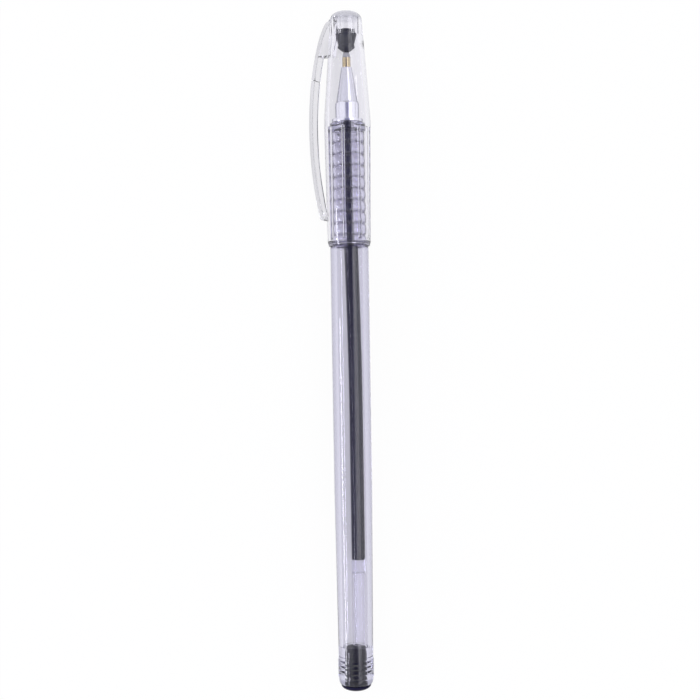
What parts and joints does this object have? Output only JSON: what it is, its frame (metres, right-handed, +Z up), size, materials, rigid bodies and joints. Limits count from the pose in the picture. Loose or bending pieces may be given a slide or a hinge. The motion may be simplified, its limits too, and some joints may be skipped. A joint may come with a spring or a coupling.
{
  "type": "pen",
  "caption": "Capped stick pen with a clear round barrel, metal nose cone, gel refill with a rolling ball, and a pull-off clear cap with an arched pocket clip.",
  "frame": {"origin": "on the surface that the pen lies on, under the middle of its overall box", "axes": "+Y along the pen towards the cap's crown, +Z up from the surface, +X to the side away from the clip"},
  "size_m": [0.0136, 0.149, 0.0102],
  "materials": {
    "clear_barrel_plastic": "polished, clear with a faint lilac tint",
    "clear_cap_plastic": "polished, clear",
    "milky_plastic": "smooth, slightly milky",
    "black_plastic": "smooth black moulding",
    "seal_plastic": "soft black moulding",
    "bright_metal": "bright plated turning",
    "tip_brass": "turned, bare",
    "ball_steel": "ground hard metal",
    "black_ink": "black gel ink",
    "follower_grease": "clear grease plug behind the ink"
  },
  "bodies": {
    "barrel": {"barrel": "clear_barrel_plastic", "tail_plug": "black_plastic", "tip_holder": "milky_plastic", "point_tip": "tip_brass", "refill_tube": "milky_plastic", "ink_column": "black_ink", "ink_follower": "follower_grease"},
    "nose": {"nose_cone": "bright_metal"},
    "ball": {"writing_ball": "ball_steel"},
    "cap": {"cap_shell": "clear_cap_plastic", "cap_seal": "seal_plastic"},
    "clip": {"pocket_clip": "clear_cap_plastic"}
  },
  "joints": [
    {"name": "cap_pull", "type": "slide", "parent": "barrel", "child": "cap", "axis": [0, 1, 0], "range_m": [0, 0.06]},
    {"name": "clip_flex", "type": "hinge", "parent": "cap", "child": "clip", "pos_m": [-0.00515, 0.05993, 0.0018], "axis": [0.4345, 0, -0.9006], "range_deg": [0, 4], "stiffness_Nm_per_rad": 1.2},
    {"name": "nose_unscrew", "type": "hinge", "parent": "barrel", "child": "nose", "pos_m": [0.0017, 0.0501, 0.00511], "axis": [0, 1, 0], "range_deg": [0, 1440]},
    {"name": "ball_roll", "type": "hinge", "parent": "barrel", "child": "ball", "pos_m": [0.0017, 0.06606, 0.00511], "axis": [1, 0, 0], "continuous": true}
  ]
}
